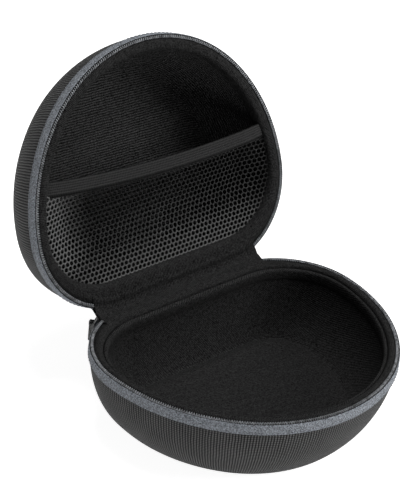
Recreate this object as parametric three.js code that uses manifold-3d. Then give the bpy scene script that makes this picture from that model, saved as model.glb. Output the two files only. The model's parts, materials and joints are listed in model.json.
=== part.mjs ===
// A clamshell carrying case for headphones, shown open.
//
// Two moulded foam bowls, a tray and a lid, meet along a rim that follows one outline.
// A cloth hinge joins them along the straight side of that outline, and a coil zip runs
// round the rest of it. Each bowl is a shell, a foam liner inside it and a padded rim.
//
// Millimetres, +Z up. The origin is on the flat base, below the middle of the tray's rim.
// Both bowls are first laid out shut, in the hinge's own frame: x runs along the hinge,
// the hinge line is y = 0, the front of the case is at negative y, and the halves part at
// z = 0. The lid's group is then swung open about the hinge line.

import * as THREE from 'three';
import { mergeVertices } from 'three/addons/utils/BufferGeometryUtils.js';
import Module from 'manifold-3d';

const wasm = await Module();
wasm.setup();

// ---- Driving dimensions ----

// The outline of the rim, made of a straight stretch and three radii.
const HINGE_HALF = 45;
const CORNER_RADIUS = 53;
const SIDE_RADIUS = 108;
const SIDE_TURN = THREE.MathUtils.degToRad(42);

// Each bowl, as depths below the parting plane and insets from the outline.
const BOWL_DEPTH = 57.6;
const BAND_DEPTH = 8.2;
const WALL_START_SLOPE = THREE.MathUtils.degToRad(6);
const WALL_END_SLOPE = THREE.MathUtils.degToRad(43.5);
const BASE_EDGE_RADIUS = 21;
const HINGE_SIDE_SHARE = 0.28;
const HINGE_SIDE_EXTRA = 0.55;
const TRAY_FLOOR_SHARE = 0.75;
const SHELL_TOP = 6.1;
const SHELL_THICKNESS = 3;

// How much of a wall's thickness is left where it lies flat, and how late it turns to floor.
const WALL_TAPER = 0.35;
const FLOOR_BLEND = 3;

// The tray is padded more heavily than the lid, so that it holds the open lid up.
const TRAY_LINER_WALL = 5;
const LID_LINER_WALL = 3.2;
const TRAY_LINER_FLOOR = 10;
const LID_LINER_FLOOR = 2.6;

// Clearances: between pieces that touch, and from each half to the parting plane.
const GAP = 0.3;
const PARTING_GAP = 0.3;

// The zip and the padded rim.
const TAPE_THICKNESS = 0.8;
const TAPE_TOP = 0.9;
const COIL_OUTER = TAPE_THICKNESS + GAP;
const COIL_INNER = 2.9;
const COIL_BOTTOM = 2.2;
const COIL_CROWN = 0.8;
const COIL_SHOULDER = 0.6;
const PAD_TOP = 1.1;
const PAD_BOTTOM = SHELL_TOP - GAP;
const PAD_OUTER = COIL_INNER + GAP;
const PAD_CHAMFER = 0.4;
const PAD_ROLL_WIDTH = 2;
const PAD_ROLL_DEPTH = 2;
const TRAY_PAD_INNER = 7.2;
const LID_PAD_INNER = 9.6;
const LIP_TOP = 2.4;
const LIP_OUTER = TRAY_PAD_INNER + GAP;
const LIP_INNER = 9.6;
const LIP_CHAMFER = 0.7;

// Where things start and stop round each hinge corner, as turns from the straight stretch.
const CLOTH_END = THREE.MathUtils.degToRad(14.5);
const GUSSET_START = THREE.MathUtils.degToRad(15);
const GUSSET_END = THREE.MathUtils.degToRad(22);
const ZIP_START = THREE.MathUtils.degToRad(22.6);

// The hinge cloth and its lining.
const CLOTH_THICKNESS = 0.8;
const LINING_THICKNESS = 0.5;
const LINING_REACH = 6;
const GUSSET_WIDTH = 5;
const FOLD_OFFSET = 0.8;

// The pocket in the lid: heights above the hinge line, measured across the lid.
const POCKET_LEFT = 88;
const POCKET_RIGHT = 80;
const ELASTIC_WIDTH = 8.6;
const POCKET_INSET = 10;
const ELASTIC_DEPTH = 2.6;
const POCKET_LAYER = 0.6;
const MESH_TUCK = 0.4;
const HEM_TUCK = 0.8;

// The zip's slider, with the bridge that the pull hangs from.
const SLIDER_TURN = THREE.MathUtils.degToRad(26);
const SLIDER_LENGTH = 7.6;
const SLIDER_WIDTH = 8;
const SLIDER_WAIST = 2.5;
const SLIDER_PLATE = 1.4;
const SLIDER_DROP = 2;
const BRIDGE_LENGTH = 5.4;
const BAR_THICKNESS = 0.9;
const BAR_WIDTH = 0.9;
const BAR_CLEARANCE = 1.7;
const LOOP_THICKNESS = 0.6;
const LOOP_WIDTH = 2.4;
const PULL_LENGTH = 13;
const PULL_WIDTH = 4.4;
const PULL_THICKNESS = 1.6;
const PULL_END_FACETS = 8;

// How far the lid stands open.
const OPEN_ANGLE = THREE.MathUtils.degToRad(109.8);

// ---- Materials ----

function finish(color, roughness, metalness = 0) {
  return new THREE.MeshStandardMaterial({ color, roughness, metalness });
}

const RIBBED_NYLON = finish(0x2b2b2e, 0.75);
const TRICOT = finish(0x141415, 0.95);
const PLUSH = finish(0x19191a, 0.98);
const ZIP_TAPE = finish(0x565c66, 0.85);
const ZIP_COIL = finish(0x6a6d72, 0.5);
const MESH_KNIT = finish(0x1c1c1e, 0.6);
const ELASTIC = finish(0x2a2a2c, 0.8);
const DARK_METAL = finish(0x3a3a3c, 0.35, 0.9);

// ---- The outline ----

// A station is a point on the outline with its outward normal, both in the XY plane.
function station(x, y, nx, ny) {
  return { x, y, nx, ny };
}

function onCorner(turn) {
  const nx = Math.sin(turn);
  const ny = Math.cos(turn);
  return station(HINGE_HALF + CORNER_RADIUS * nx, CORNER_RADIUS * (ny - 1), nx, ny);
}

function onSide(turn) {
  const start = onCorner(Math.PI / 2);
  const nx = Math.cos(turn);
  const ny = -Math.sin(turn);
  return station(start.x + SIDE_RADIUS * (nx - 1), start.y + SIDE_RADIUS * ny, nx, ny);
}

// The front arc starts square to the end of the side arc and is centred on x = 0.
const SIDE_END = onSide(SIDE_TURN);
const FRONT_RADIUS = SIDE_END.x / SIDE_END.nx;
const FRONT_CENTRE_Y = SIDE_END.y - FRONT_RADIUS * SIDE_END.ny;

function onFront(turn) {
  const nx = Math.sin(turn);
  const ny = -Math.cos(turn);
  return station(FRONT_RADIUS * nx, FRONT_CENTRE_Y + FRONT_RADIUS * ny, nx, ny);
}

function steps(from, to, count) {
  return Array.from({ length: count + 1 }, (_, i) => from + ((to - from) * i) / count);
}

function mirrored(s) {
  return station(-s.x, s.y, -s.nx, s.ny);
}

// The right half of the outline past a turn of the hinge corner, up to the front's middle.
function rightHalfFrom(turn) {
  const corner = steps(turn, Math.PI / 2, 8).map(onCorner);
  const side = steps(0, SIDE_TURN, 4).slice(1).map(onSide);
  const front = steps(Math.PI / 2 - SIDE_TURN, 0, 5).slice(1).map(onFront);
  return [...corner, ...side, ...front];
}

// An open run round the sides and front, from one hinge corner to the other.
function frontRun(turn) {
  const right = rightHalfFrom(turn);
  return [...right, ...right.slice(0, -1).reverse().map(mirrored)];
}

// The whole outline, as a closed run.
function hingeRun(count) {
  return steps(-HINGE_HALF, HINGE_HALF, count).map((x) => station(x, 0, 0, 1));
}

const OUTLINE = [...hingeRun(5).slice(0, -1), ...frontRun(0).slice(0, -1)];

// How much a station faces the hinge: 1 on the straight stretch, 0 on the sides and front.
function hingeward(s) {
  return Math.max(0, s.ny) ** 2;
}

function insetPoint(s, inset, z) {
  return new THREE.Vector3(s.x - s.nx * inset, s.y - s.ny * inset, z);
}

// ---- Solids from loops of points ----

function capTriangles(loop, base) {
  const centre = new THREE.Vector3();
  const normal = new THREE.Vector3();
  loop.forEach((p, i) => {
    const q = loop[(i + 1) % loop.length];
    centre.add(p);
    normal.add(new THREE.Vector3().crossVectors(p, q));
  });
  centre.divideScalar(loop.length);
  normal.normalize();
  const across = loop[0].clone().sub(centre);
  across.addScaledVector(normal, -across.dot(normal)).normalize();
  const up = new THREE.Vector3().crossVectors(normal, across);
  const flat = loop.map((p) => {
    const d = p.clone().sub(centre);
    return new THREE.Vector2(d.dot(across), d.dot(up));
  });
  return THREE.ShapeUtils.triangulateShape(flat, []).map((t) => t.map((i) => base + i));
}

function signedVolume(points, triangles) {
  return triangles.reduce((sum, [a, b, c]) => {
    const cross = new THREE.Vector3().crossVectors(points[b], points[c]);
    return sum + points[a].dot(cross) / 6;
  }, 0);
}

// A quad is split along its shorter diagonal, so that nested walls are split alike.
function quadTriangles(points, [a, b, c, d]) {
  if (points[a].distanceTo(points[c]) < points[b].distanceTo(points[d])) {
    return [[a, b, c], [a, c, d]];
  }
  return [[a, b, d], [b, c, d]];
}

// Joins loops of equally many points. A closed loft returns to its first loop; an open one
// is capped at both ends. The faces are turned outwards at the end.
function loft(loops, closed = false) {
  const count = loops[0].length;
  const points = loops.flat();
  const triangles = [];
  const bands = closed ? loops.length : loops.length - 1;
  for (let i = 0; i < bands; i += 1) {
    const low = i * count;
    const high = ((i + 1) % loops.length) * count;
    for (let j = 0; j < count; j += 1) {
      const next = (j + 1) % count;
      const corners = [low + j, low + next, high + next, high + j];
      triangles.push(...quadTriangles(points, corners));
    }
  }
  if (!closed) {
    capTriangles(loops[0], 0).forEach(([a, b, c]) => triangles.push([a, c, b]));
    triangles.push(...capTriangles(loops.at(-1), (loops.length - 1) * count));
  }
  if (signedVolume(points, triangles) < 0) {
    triangles.forEach((t) => t.reverse());
  }
  const geometry = new THREE.BufferGeometry();
  geometry.setFromPoints(points);
  geometry.setIndex(triangles.flat());
  geometry.computeVertexNormals();
  return geometry;
}

function extruded(corners, depth, hole = null) {
  const shape = new THREE.Shape(corners.map(([x, y]) => new THREE.Vector2(x, y)));
  if (hole) {
    shape.holes.push(new THREE.Path(hole.map(([x, y]) => new THREE.Vector2(x, y))));
  }
  return new THREE.ExtrudeGeometry(shape, { depth, bevelEnabled: false });
}

function manifold(geometry) {
  const bare = geometry.clone().deleteAttribute('normal').deleteAttribute('uv');
  const merged = mergeVertices(bare);
  return new wasm.Manifold(
    new wasm.Mesh({
      numProp: 3,
      vertProperties: new Float32Array(merged.attributes.position.array),
      triVerts: new Uint32Array(merged.index.array),
    }),
  );
}

function joined(a, b) {
  const mesh = manifold(a).add(manifold(b)).getMesh();
  const geometry = new THREE.BufferGeometry();
  geometry.setAttribute('position', new THREE.BufferAttribute(mesh.vertProperties, 3));
  geometry.setIndex([...mesh.triVerts]);
  geometry.computeVertexNormals();
  return geometry;
}

function named(name, geometry, material) {
  const mesh = new THREE.Mesh(geometry, material);
  mesh.name = name;
  return mesh;
}

// ---- The bowls ----

// The outside of the wall below the band, as [depth, inset, slope] from the rim down: one
// long arc that leans in more and more, then the rounded edge of the base.
function wallProfile() {
  const kneeDepth = BOWL_DEPTH - BASE_EDGE_RADIUS * (1 - Math.sin(WALL_END_SLOPE));
  const rise = Math.sin(WALL_END_SLOPE) - Math.sin(WALL_START_SLOPE);
  const radius = (kneeDepth - BAND_DEPTH) / rise;
  const arcFrom = ([depth, inset, from], r) => (slope) => [
    depth + r * (Math.sin(slope) - Math.sin(from)),
    inset + r * (Math.cos(from) - Math.cos(slope)),
    slope,
  ];
  const top = [BAND_DEPTH, TAPE_THICKNESS + GAP, WALL_START_SLOPE];
  const wall = steps(WALL_START_SLOPE, WALL_END_SLOPE, 4).map(arcFrom(top, radius));
  const edge = steps(WALL_END_SLOPE, Math.PI / 2, 3).slice(1);
  return [...wall, ...edge.map(arcFrom(wall.at(-1), BASE_EDGE_RADIUS))];
}

const WALL = wallProfile();
const FULL_INSET = WALL.at(-1)[1];

// The wall stands steeper on the hinge side, so that the open case keeps its balance. The
// share is how far it leans in there, against the sides and front.
function wallInset(s, inset, share) {
  const start = TAPE_THICKNESS + GAP;
  return start + (inset - start) * (1 - (1 - share) * hingeward(s));
}

// A ring of the wall, moved inwards from its outside by a wall and a floor thickness.
function wallRing(row, side, wallIn, floorIn, hingeIn = 0, share = HINGE_SIDE_SHARE) {
  const [depth, inset, slope] = row;
  const lift = floorIn * Math.sin(slope) ** FLOOR_BLEND;
  const fade = 1 - inset / FULL_INSET;
  return OUTLINE.map((s) => {
    const wall = wallIn * (1 - WALL_TAPER * Math.sin(slope));
    const inwards = wall + hingeIn * fade * hingeward(s);
    return insetPoint(s, wallInset(s, inset, share) + inwards, side * (depth - lift));
  });
}

function topRing(side, inset, depth, hingeIn = 0) {
  return OUTLINE.map((s) => insetPoint(s, inset + hingeIn * hingeward(s), side * depth));
}

function shell(side) {
  const start = TAPE_THICKNESS + GAP;
  const outside = WALL.map((row) => wallRing(row, side, 0, 0)).reverse();
  const inside = WALL.map((row) => wallRing(row, side, SHELL_THICKNESS, SHELL_THICKNESS));
  const rim = [
    topRing(side, start, SHELL_TOP),
    topRing(side, start + SHELL_THICKNESS, SHELL_TOP),
  ];
  return loft([...outside, ...rim, ...inside]);
}

// Inside, the tray is dished evenly all round, so its foam is thicker by the hinge.
function liner(side, thickness, floor, share) {
  const behind = SHELL_THICKNESS + GAP;
  const start = TAPE_THICKNESS + GAP + behind;
  const inwards = behind + thickness;
  const hingeIn = (start + thickness) * HINGE_SIDE_EXTRA;
  const outside = WALL.map((row) => wallRing(row, side, behind, behind)).reverse();
  const inside = WALL.map((row) => wallRing(row, side, inwards, behind + floor, hingeIn, share));
  const rim = [
    topRing(side, start, SHELL_TOP),
    topRing(side, start + thickness, SHELL_TOP, hingeIn),
  ];
  return loft([...outside, ...rim, ...inside]);
}

// A ring of constant section round the whole rim. The section is a list of [inset, depth];
// insets past the zip grow on the hinge side, where the padded rim is wider.
function rimRing(side, section) {
  const loops = section.map(([inset, depth]) => topRing(side, inset, depth, rimGrowth(inset)));
  return loft(loops, true);
}

function rimGrowth(inset) {
  return inset > PAD_OUTER ? inset * HINGE_SIDE_EXTRA : 0;
}

function rimPad(side, inner) {
  return rimRing(side, [
    [PAD_OUTER, COIL_BOTTOM + GAP],
    [PAD_OUTER, PAD_TOP + PAD_CHAMFER],
    [PAD_OUTER + PAD_CHAMFER, PAD_TOP],
    [inner - PAD_ROLL_WIDTH, PAD_TOP],
    [inner - 0.3 * PAD_ROLL_WIDTH, PAD_TOP + 0.35 * PAD_ROLL_DEPTH],
    [inner, PAD_TOP + PAD_ROLL_DEPTH],
    [inner, PAD_BOTTOM],
    [COIL_OUTER, PAD_BOTTOM],
    [COIL_OUTER, COIL_BOTTOM + GAP],
  ]);
}

function lip(side) {
  return rimRing(side, [
    [LIP_OUTER, LIP_TOP + LIP_CHAMFER],
    [LIP_OUTER + LIP_CHAMFER, LIP_TOP],
    [LIP_INNER - LIP_CHAMFER, LIP_TOP],
    [LIP_INNER, LIP_TOP + LIP_CHAMFER],
    [LIP_INNER, PAD_BOTTOM],
    [LIP_OUTER, PAD_BOTTOM],
  ]);
}

// ---- The zip ----

const ZIP_RUN = frontRun(ZIP_START);

// A strip of constant section along the zip. The section is a list of [inset, depth].
function zipStrip(side, section) {
  const across = (s) => section.map(([inset, depth]) => insetPoint(s, inset, side * depth));
  return loft(ZIP_RUN.map(across));
}

function zipTape(side) {
  return zipStrip(side, [
    [0, TAPE_TOP],
    [TAPE_THICKNESS, TAPE_TOP],
    [TAPE_THICKNESS, BAND_DEPTH],
    [0, BAND_DEPTH],
  ]);
}

function zipCoil(side) {
  const middle = (COIL_OUTER + COIL_INNER) / 2;
  return zipStrip(side, [
    [middle - COIL_CROWN / 2, PARTING_GAP],
    [middle + COIL_CROWN / 2, PARTING_GAP],
    [COIL_INNER, PARTING_GAP + COIL_SHOULDER],
    [COIL_INNER, COIL_BOTTOM],
    [COIL_OUTER, COIL_BOTTOM],
    [COIL_OUTER, PARTING_GAP + COIL_SHOULDER],
  ]);
}

// The slider stands on the outside of the tape, parked at the left end of the zip. In its
// own frame x runs along the tape, y points out of the case and z is up.
function sliderBody() {
  const nose = -SLIDER_LENGTH / 2;
  const shoulder = SLIDER_LENGTH / 10;
  const tail = SLIDER_LENGTH / 2;
  const half = SLIDER_WIDTH / 2;
  const corners = [
    [nose, -SLIDER_WAIST],
    [shoulder, -half],
    [tail, -half],
    [tail, half],
    [shoulder, half],
    [nose, SLIDER_WAIST],
  ];
  const plate = extruded(corners, SLIDER_PLATE);
  plate.rotateX(Math.PI / 2);
  plate.translate(0, SLIDER_PLATE, 0);
  return joined(plate, sliderBridge());
}

// The bridge is an arch along the slider. Its bar holds the loop of the pull.
function sliderBridge() {
  const outer = BRIDGE_LENGTH / 2;
  const inner = outer - BAR_THICKNESS;
  const foot = SLIDER_PLATE / 2;
  const under = SLIDER_PLATE + BAR_CLEARANCE;
  const top = under + BAR_THICKNESS;
  const corners = [
    [-outer, foot],
    [-outer, top],
    [outer, top],
    [outer, foot],
    [inner, foot],
    [inner, under],
    [-inner, under],
    [-inner, foot],
  ];
  const arch = extruded(corners, BAR_WIDTH);
  arch.translate(0, 0, -BAR_WIDTH / 2);
  return arch;
}

// The pull hangs from the bar by a loop, with the middle of the bar as its origin.
function pullTab() {
  const hole = { x: BAR_THICKNESS / 2 + GAP, y: BAR_WIDTH / 2 + GAP };
  const outside = { x: hole.x + LOOP_THICKNESS, y: hole.y + LOOP_THICKNESS };
  const corners = ({ x, y }) => [[-x, -y], [x, -y], [x, y], [-x, y]];
  const loop = extruded(corners(outside), LOOP_WIDTH, corners(hole));
  loop.translate(0, 0, -LOOP_WIDTH / 2);
  loop.rotateX(Math.PI / 2);
  loop.rotateZ(Math.PI / 2);

  const half = PULL_WIDTH / 2;
  const shape = new THREE.Shape();
  shape.moveTo(half, -hole.y - LOOP_THICKNESS / 2);
  shape.lineTo(-half, -hole.y - LOOP_THICKNESS / 2);
  shape.lineTo(-half, half - PULL_LENGTH);
  shape.absarc(0, half - PULL_LENGTH, half, Math.PI, Math.PI * 2, false);
  const grip = new THREE.ExtrudeGeometry(shape, {
    depth: PULL_THICKNESS,
    bevelEnabled: false,
    curveSegments: PULL_END_FACETS,
  });
  grip.rotateX(Math.PI / 2);
  grip.translate(0, PULL_THICKNESS / 2, 0);
  return joined(loop, grip);
}

// ---- The hinge ----

// A point of a hinge strip on the tray's side, or the same point on the lid's, swung open.
function trayPoint(s, inset, depth) {
  return new THREE.Vector3(s.x, s.y - inset, -depth);
}

function lidPoint(s, inset, depth) {
  const shut = new THREE.Vector3(s.x, s.y - inset, depth);
  return shut.applyAxisAngle(new THREE.Vector3(1, 0, 0), -OPEN_ANGLE);
}

// A folded strip along the hinge. The section is one side's path of [inset, depth], outer
// face then inner face, from the free edge to the fold; the lid's side mirrors it.
function hingeStrip(stations, outer, inner) {
  return loft(
    stations.map((s) => [
      ...outer.map(([inset, depth]) => trayPoint(s, inset, depth)),
      ...outer.toReversed().map(([inset, depth]) => lidPoint(s, inset, depth)),
      ...inner.map(([inset, depth]) => lidPoint(s, inset, depth)),
      ...inner.toReversed().map(([inset, depth]) => trayPoint(s, inset, depth)),
    ]),
  );
}

function clothStations() {
  const corner = steps(0, CLOTH_END, 2).slice(1).map(onCorner);
  return [...corner.toReversed().map(mirrored), ...hingeRun(6), ...corner];
}

function hingeCloth() {
  const outer = [[0, BAND_DEPTH], [0, 2 * CLOTH_THICKNESS]];
  const inner = [[CLOTH_THICKNESS, BAND_DEPTH], [CLOTH_THICKNESS, 1.5 * CLOTH_THICKNESS]];
  return hingeStrip(clothStations(), outer, inner);
}

function hingeLining() {
  const low = PARTING_GAP + LINING_THICKNESS;
  const outer = [[LINING_REACH, PARTING_GAP], [1.25 * CLOTH_THICKNESS, PARTING_GAP]];
  const inner = [[LINING_REACH, low], [CLOTH_THICKNESS, low]];
  return hingeStrip(clothStations(), outer, inner);
}

// A gusset closes each end of the hinge, inside the zip, from the tray's pad to the lid's.
function hingeGusset(mirror) {
  const low = PARTING_GAP + LINING_THICKNESS;
  const start = PAD_OUTER + GAP;
  const run = steps(GUSSET_START, GUSSET_END, 2).map(onCorner);
  const outer = [[start + GUSSET_WIDTH, PARTING_GAP], [start + FOLD_OFFSET, PARTING_GAP]];
  const inner = [[start + GUSSET_WIDTH, low], [start, low]];
  return hingeStrip(mirror ? run.map(mirrored) : run, outer, inner);
}

// ---- The lid's pocket ----

// The pocket's top edge, as a y across the lid, moved towards the hinge by a drop.
function pocketTop(x, drop) {
  const middle = (POCKET_LEFT + POCKET_RIGHT) / 2;
  const slope = (POCKET_LEFT - POCKET_RIGHT) / (2 * (HINGE_HALF + CORNER_RADIUS));
  return drop - middle + slope * x;
}

// The part of a polygon on one side of the pocket's top edge moved by a drop.
function clipped(points, drop, keepHingeSide) {
  const keep = (p) => (p.y - pocketTop(p.x, drop) > 0) === keepHingeSide;
  const out = [];
  points.forEach((p, i) => {
    const q = points[(i + 1) % points.length];
    if (keep(p)) {
      out.push(p);
    }
    if (keep(p) !== keep(q)) {
      const a = p.y - pocketTop(p.x, drop);
      const b = q.y - pocketTop(q.x, drop);
      out.push(p.clone().lerp(q, a / (a - b)));
    }
  });
  return out;
}

function pocketLayer(fromDrop, toDrop, depth) {
  const opening = OUTLINE.map((s) => {
    const p = insetPoint(s, POCKET_INSET * (1 + HINGE_SIDE_EXTRA * hingeward(s)), 0);
    return new THREE.Vector2(p.x, p.y);
  });
  let region = clipped(opening, fromDrop, true);
  if (toDrop !== null) {
    region = clipped(region, toDrop, false);
  }
  const solid = new THREE.ExtrudeGeometry(new THREE.Shape(region), {
    depth: POCKET_LAYER,
    bevelEnabled: false,
  });
  solid.translate(0, 0, depth);
  return solid;
}

// ---- Assembly ----

const TRAY = -1;
const LID = 1;

const tray = new THREE.Group();
tray.add(
  named('tray_shell', shell(TRAY), RIBBED_NYLON),
  named('tray_liner', liner(TRAY, TRAY_LINER_WALL, TRAY_LINER_FLOOR, TRAY_FLOOR_SHARE), TRICOT),
  named('tray_rim_pad', rimPad(TRAY, TRAY_PAD_INNER), PLUSH),
  named('tray_lip', lip(TRAY), TRICOT),
  named('tray_zip_tape', zipTape(TRAY), ZIP_TAPE),
  named('tray_zip_coil', zipCoil(TRAY), ZIP_COIL),
);

const meshDepth = ELASTIC_DEPTH + POCKET_LAYER + GAP;
const hemDepth = meshDepth + POCKET_LAYER + GAP;
const hemEnd = ELASTIC_WIDTH + 2 * HEM_TUCK;
const lid = new THREE.Group();
lid.rotation.x = -OPEN_ANGLE;
lid.add(
  named('lid_shell', shell(LID), RIBBED_NYLON),
  named('lid_liner', liner(LID, LID_LINER_WALL, LID_LINER_FLOOR, HINGE_SIDE_SHARE), TRICOT),
  named('lid_rim_pad', rimPad(LID, LID_PAD_INNER), PLUSH),
  named('lid_zip_tape', zipTape(LID), ZIP_TAPE),
  named('lid_zip_coil', zipCoil(LID), ZIP_COIL),
  named('pocket_elastic', pocketLayer(0, ELASTIC_WIDTH, ELASTIC_DEPTH), ELASTIC),
  named('pocket_mesh', pocketLayer(MESH_TUCK, null, meshDepth), MESH_KNIT),
  named('pocket_hem', pocketLayer(HEM_TUCK, hemEnd, hemDepth), ELASTIC),
);

const hinge = new THREE.Group();
hinge.add(
  named('hinge_cloth', hingeCloth(), RIBBED_NYLON),
  named('hinge_lining', hingeLining(), PLUSH),
  named('hinge_gusset_left', hingeGusset(true), PLUSH),
  named('hinge_gusset_right', hingeGusset(false), PLUSH),
);

const parked = mirrored(onCorner(SLIDER_TURN));
const slider = new THREE.Group();
slider.position.set(parked.x + parked.nx * GAP, parked.y + parked.ny * GAP, -SLIDER_DROP);
slider.rotation.z = SLIDER_TURN;
slider.add(named('zip_slider', sliderBody(), DARK_METAL));
const pull = named('zip_pull', pullTab(), DARK_METAL);
pull.position.y = SLIDER_PLATE + BAR_CLEARANCE + BAR_THICKNESS / 2;
slider.add(pull);

const part = new THREE.Group();
part.position.set(0, (FRONT_RADIUS - FRONT_CENTRE_Y) / 2, BOWL_DEPTH);
part.add(tray, lid, hinge, slider);

export default part;
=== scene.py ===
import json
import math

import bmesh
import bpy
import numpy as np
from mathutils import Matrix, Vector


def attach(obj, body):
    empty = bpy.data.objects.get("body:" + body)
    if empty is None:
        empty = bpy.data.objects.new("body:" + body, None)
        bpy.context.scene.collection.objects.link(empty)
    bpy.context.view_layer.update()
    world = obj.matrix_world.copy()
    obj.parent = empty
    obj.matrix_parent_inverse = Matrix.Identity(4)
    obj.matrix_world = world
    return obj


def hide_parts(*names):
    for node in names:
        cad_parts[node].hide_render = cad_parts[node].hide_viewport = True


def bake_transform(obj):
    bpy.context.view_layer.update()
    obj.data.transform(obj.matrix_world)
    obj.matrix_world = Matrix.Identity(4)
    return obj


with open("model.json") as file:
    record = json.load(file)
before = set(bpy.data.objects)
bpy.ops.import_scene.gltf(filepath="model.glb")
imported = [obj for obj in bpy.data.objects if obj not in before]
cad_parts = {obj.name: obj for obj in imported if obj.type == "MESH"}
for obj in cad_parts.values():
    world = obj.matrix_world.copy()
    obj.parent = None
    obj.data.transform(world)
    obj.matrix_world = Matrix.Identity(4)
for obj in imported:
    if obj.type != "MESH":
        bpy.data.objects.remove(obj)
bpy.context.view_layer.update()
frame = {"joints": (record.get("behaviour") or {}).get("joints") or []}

# %% [markdown]
# # A zip-round headphone case, standing open
#
# The case is two moulded foam bowls that share one outline. A cloth hinge joins them along
# the straight side, and a coil zip runs round the rest. Everything here is built from that
# outline: each piece is a small section, such as a rolled pad or a strip of tape, carried
# round the rim. The CAD model gives the joints and the size, so the pieces below line up
# with it and move with its bodies.

MM = 0.001
joints = {joint["name"]: joint for joint in frame["joints"]}
HINGE = np.array(joints["lid_hinge"]["pos_m"])
OPEN_ANGLE = math.radians(joints["lid_hinge"]["range_deg"][1])

# %% [markdown]
# ## The outline of the rim
#
# The outline is a straight stretch for the hinge, two corners, two long side curves and one
# round front. Arcs that share a tangent where they meet give the smooth line that a moulded
# case has. Storing it by arc length makes everything that repeats along the rim, such as
# the loops of the zip, come out evenly spaced.

# %% The outline by arc length
HINGE_HALF = 45
CORNER_RADIUS = 53
SIDE_RADIUS = 108
SIDE_TURN = math.radians(42)


def arc(centre, radius, start, end, count):
    """Points and outward normals of an arc; angles are clockwise from +y, in radians."""
    turn = np.linspace(start, end, count)
    normal = np.stack([np.sin(turn), np.cos(turn)], -1)
    return np.array(centre) + radius * normal, normal


side_centre = (HINGE_HALF + CORNER_RADIUS - SIDE_RADIUS, -CORNER_RADIUS)
side_end = math.pi / 2 + SIDE_TURN
side_last = arc(side_centre, SIDE_RADIUS, side_end, side_end, 1)[0][0]
FRONT_RADIUS = side_last[0] / math.sin(side_end)
front_centre = (0, side_last[1] - FRONT_RADIUS * math.cos(side_end))

straight = np.stack([np.linspace(0, HINGE_HALF, 200), np.zeros(200)], -1)
runs = [
    (straight, np.tile([0.0, 1.0], (200, 1))),
    arc((HINGE_HALF, -CORNER_RADIUS), CORNER_RADIUS, 0, math.pi / 2, 400),
    arc(side_centre, SIDE_RADIUS, math.pi / 2, side_end, 400),
    arc(front_centre, FRONT_RADIUS, side_end, math.pi, 400),
]
half_points = np.concatenate([run[0][:-1] for run in runs] + [runs[-1][0][-1:]])
half_normals = np.concatenate([run[1][:-1] for run in runs] + [runs[-1][1][-1:]])
flip = np.array([-1.0, 1.0])
all_points = np.concatenate([half_points, half_points[-2::-1] * flip])
all_normals = np.concatenate([half_normals, half_normals[-2::-1] * flip])
step_lengths = np.linalg.norm(np.diff(all_points, axis=0), axis=1)
arc_lengths = np.concatenate([[0], np.cumsum(step_lengths)])
PERIMETER = arc_lengths[-1]


def along(s):
    """Outline points and outward normals at arc lengths s, measured from the hinge's middle."""
    s = np.mod(s, PERIMETER)
    point = np.stack([np.interp(s, arc_lengths, all_points[:, k]) for k in (0, 1)], -1)
    normal = np.stack([np.interp(s, arc_lengths, all_normals[:, k]) for k in (0, 1)], -1)
    return point, normal / np.linalg.norm(normal, axis=-1, keepdims=True)


def corner_length(turn_deg):
    """The arc length from the hinge's middle to a turn of the corner."""
    return HINGE_HALF + CORNER_RADIUS * math.radians(turn_deg)


ZIP_START = corner_length(22.6)
ZIP_LENGTH = PERIMETER - 2 * ZIP_START
print(f"outline {PERIMETER:.1f} mm round, zip {ZIP_LENGTH:.1f} mm long")

# %% [markdown]
# ## From sections to surfaces
#
# Both halves are described the way they are moulded: flat, with a depth below the parting
# plane and an inset from the outline. One function then lays a half down as the tray or
# swings it open as the lid. Each surface also keeps a UV map in metres, so that a weave or
# a rib in a material has its real size.

# %% Building surfaces
def hingeward(normal):
    """1 where the outline faces the hinge, falling to 0 at the sides and front."""
    return np.clip(normal[..., 1], 0, 1) ** 2


def placed(shut, half):
    """Points (x, y, depth) in mm, laid out shut, as points of the open case in metres."""
    x, y, depth = np.moveaxis(np.asarray(shut, float), -1, 0)
    if half == "lid":
        c, s = math.cos(OPEN_ANGLE), math.sin(OPEN_ANGLE)
        out = np.stack([x, y * c + depth * s, -y * s + depth * c], -1)
    else:
        out = np.stack([x, y, -depth], -1)
    return out * MM + HINGE


def inset_ring(s, inset, depth, growth=0.0):
    """A ring at an inset and depth; growth widens the inset towards the hinge."""
    point, normal = along(s)
    inwards = inset + growth * hingeward(normal)
    flat = point - normal * np.reshape(inwards, (-1, 1))
    return np.column_stack([flat, np.broadcast_to(depth, len(flat))])


def signed_volume(points, quads):
    a, b, c, d = (points[quads[:, k]] for k in range(4))
    first = np.einsum("ij,ij->", a, np.cross(b, c))
    return (first + np.einsum("ij,ij->", a, np.cross(c, d))) / 6


def mesh_object(name, points, faces, uv=None, flat=None, smooth=True):
    """An object from points in metres, faces, and UVs for each face corner."""
    mesh = bpy.data.meshes.new(name)
    mesh.from_pydata(points.tolist(), [], [list(map(int, face)) for face in faces])
    for layer, values in (("cloth", uv), ("flat", flat)):
        if values is not None:
            mesh.uv_layers.new(name=layer).data.foreach_set("uv", np.ravel(values))
    mesh.polygons.foreach_set("use_smooth", [smooth] * len(mesh.polygons))
    mesh.update()
    made = bpy.data.objects.new(name, mesh)
    bpy.context.scene.collection.objects.link(made)
    return made


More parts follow.
